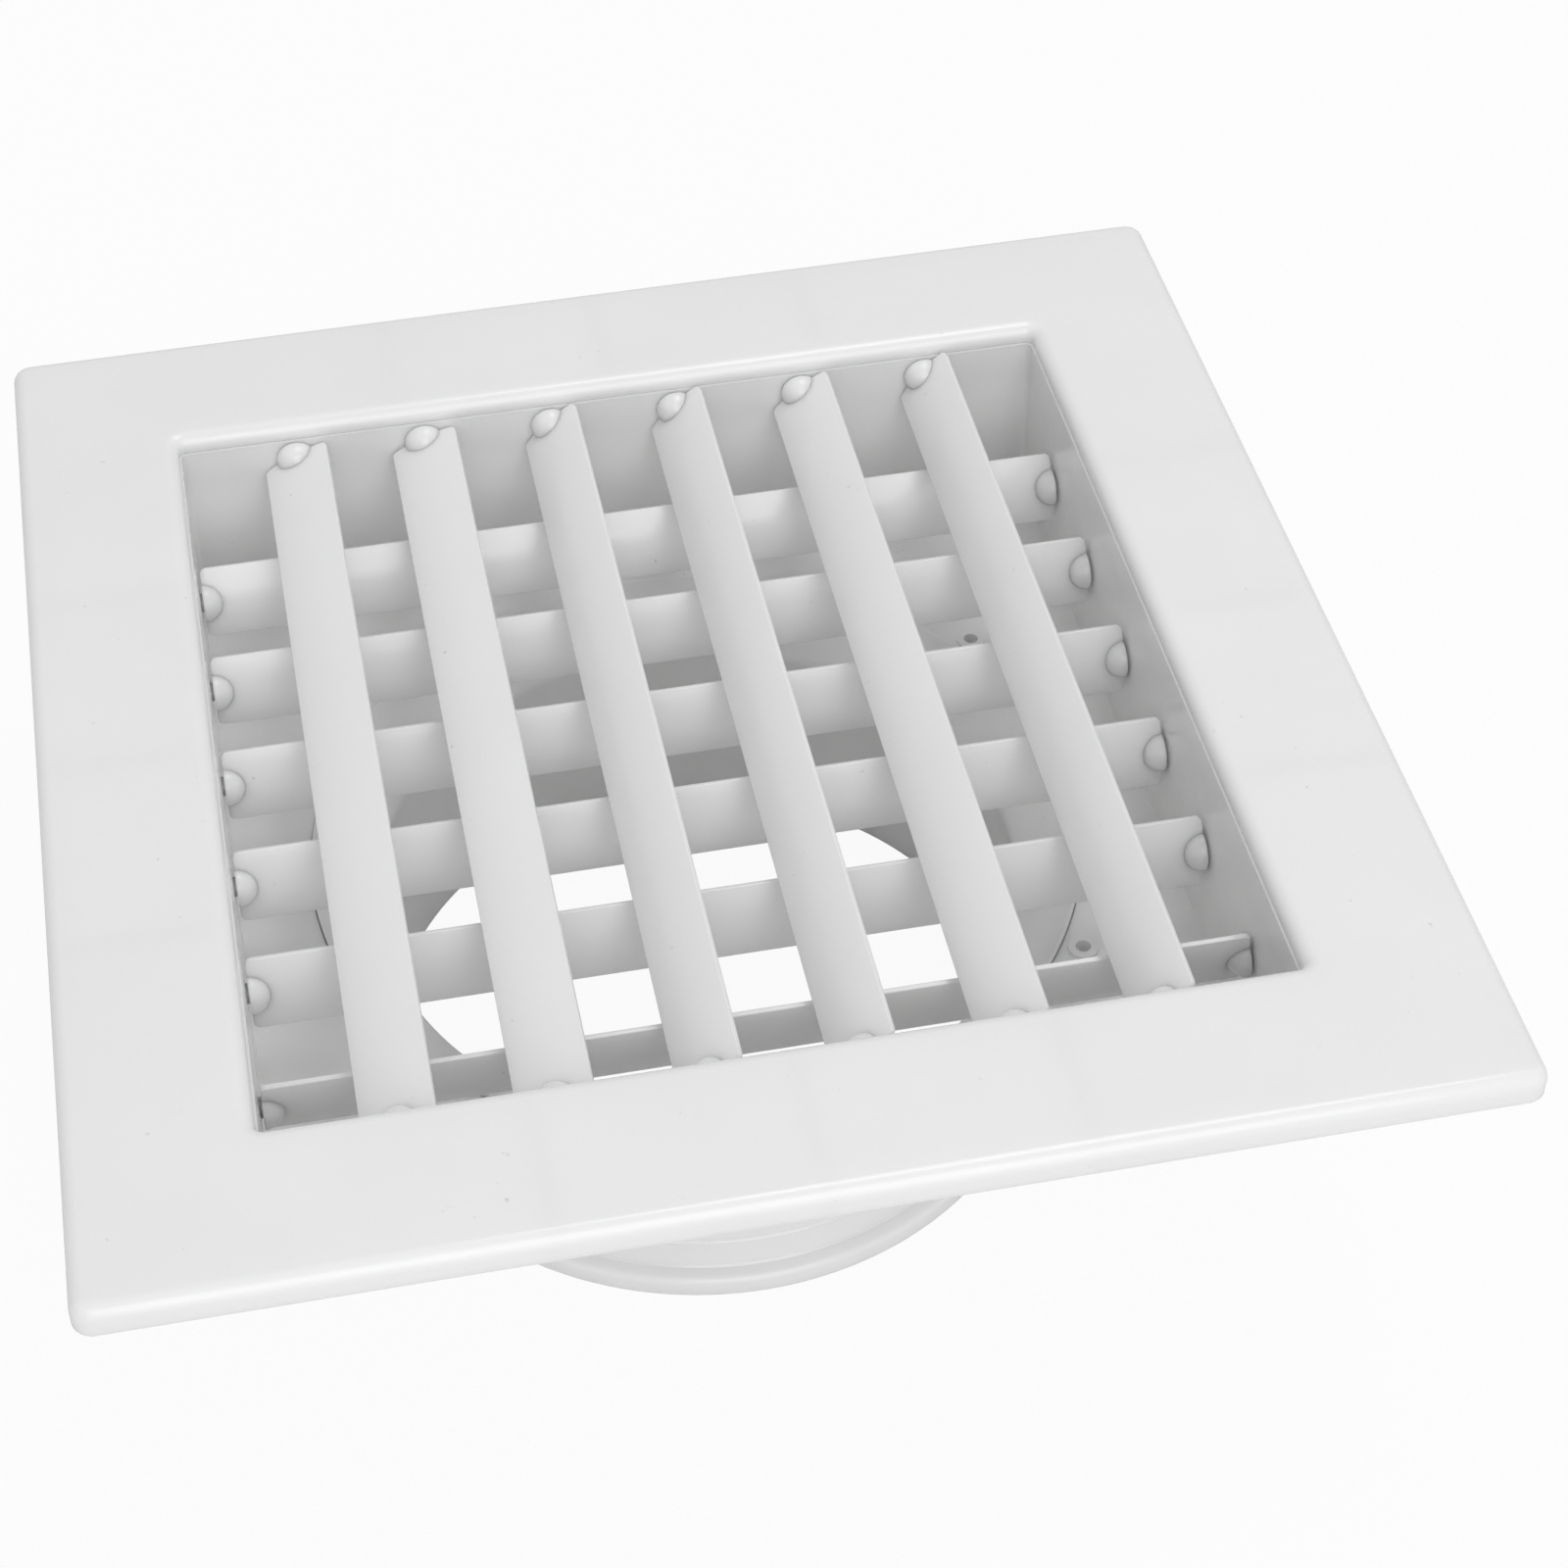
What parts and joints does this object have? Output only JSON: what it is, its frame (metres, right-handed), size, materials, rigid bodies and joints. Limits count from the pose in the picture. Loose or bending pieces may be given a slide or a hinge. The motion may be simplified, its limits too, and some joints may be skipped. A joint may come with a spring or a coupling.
{
  "type": "ceiling air vent",
  "caption": "Square ceiling air vent with a flat face frame, two crossed rows of pivoting blades in a box behind it, and a round duct collar with an end bead.",
  "frame": {"origin": "centre of the collar's end, at the bottom, where the vent stands", "axes": "+Z along the collar towards the face, +X to the right, +Y away from the viewer in the picture"},
  "size_m": [0.26, 0.26, 0.104],
  "materials": {
    "frame_white": "satin",
    "box_white": "satin",
    "collar_white": "satin",
    "blade_white": "satin"
  },
  "bodies": {
    "housing": {"face_frame": "frame_white", "plenum_box": "box_white", "duct_collar": "collar_white"},
    "front_blade_1": {"front_blade_1": "blade_white"},
    "front_blade_2": {"front_blade_2": "blade_white"},
    "front_blade_3": {"front_blade_3": "blade_white"},
    "front_blade_4": {"front_blade_4": "blade_white"},
    "front_blade_5": {"front_blade_5": "blade_white"},
    "front_blade_6": {"front_blade_6": "blade_white"},
    "rear_blade_1": {"rear_blade_1": "blade_white"},
    "rear_blade_2": {"rear_blade_2": "blade_white"},
    "rear_blade_3": {"rear_blade_3": "blade_white"},
    "rear_blade_4": {"rear_blade_4": "blade_white"},
    "rear_blade_5": {"rear_blade_5": "blade_white"},
    "rear_blade_6": {"rear_blade_6": "blade_white"}
  },
  "joints": [
    {"name": "front_pivot_1", "type": "hinge", "parent": "housing", "child": "front_blade_1", "pos_m": [-0.0705, 0, 0.0955], "axis": [0, -1, 0], "range_deg": [-26.4, 153.6]},
    {"name": "front_pivot_2", "type": "hinge", "parent": "housing", "child": "front_blade_2", "pos_m": [-0.0423, 0, 0.0955], "axis": [0, -1, 0], "range_deg": [-22.7, 157.3]},
    {"name": "front_pivot_3", "type": "hinge", "parent": "housing", "child": "front_blade_3", "pos_m": [-0.0141, 0, 0.0955], "axis": [0, -1, 0], "range_deg": [-42.7, 137.3]},
    {"name": "front_pivot_4", "type": "hinge", "parent": "housing", "child": "front_blade_4", "pos_m": [0.0141, 0, 0.0955], "axis": [0, -1, 0], "range_deg": [-45.1, 134.9]},
    {"name": "front_pivot_5", "type": "hinge", "parent": "housing", "child": "front_blade_5", "pos_m": [0.0423, 0, 0.0955], "axis": [0, -1, 0], "range_deg": [-38.9, 141.1]},
    {"name": "front_pivot_6", "type": "hinge", "parent": "housing", "child": "front_blade_6", "pos_m": [0.0705, 0, 0.0955], "axis": [0, -1, 0], "range_deg": [-50.6, 129.4]},
    {"name": "rear_pivot_1", "type": "hinge", "parent": "housing", "child": "rear_blade_1", "pos_m": [0, 0.07075, 0.0784], "axis": [1, 0, 0], "range_deg": [-63.4, 116.6]},
    {"name": "rear_pivot_2", "type": "hinge", "parent": "housing", "child": "rear_blade_2", "pos_m": [0, 0.04245, 0.0784], "axis": [1, 0, 0], "range_deg": [-70.6, 109.4]},
    {"name": "rear_pivot_3", "type": "hinge", "parent": "housing", "child": "rear_blade_3", "pos_m": [0, 0.01415, 0.0784], "axis": [1, 0, 0], "range_deg": [-71.6, 108.4]},
    {"name": "rear_pivot_4", "type": "hinge", "parent": "housing", "child": "rear_blade_4", "pos_m": [0, -0.01415, 0.0784], "axis": [1, 0, 0], "range_deg": [-70.7, 109.3]},
    {"name": "rear_pivot_5", "type": "hinge", "parent": "housing", "child": "rear_blade_5", "pos_m": [0, -0.04245, 0.0784], "axis": [1, 0, 0], "range_deg": [-71.8, 108.2]},
    {"name": "rear_pivot_6", "type": "hinge", "parent": "housing", "child": "rear_blade_6", "pos_m": [0, -0.07075, 0.0784], "axis": [1, 0, 0], "range_deg": [-101.2, 78.8]}
  ]
}
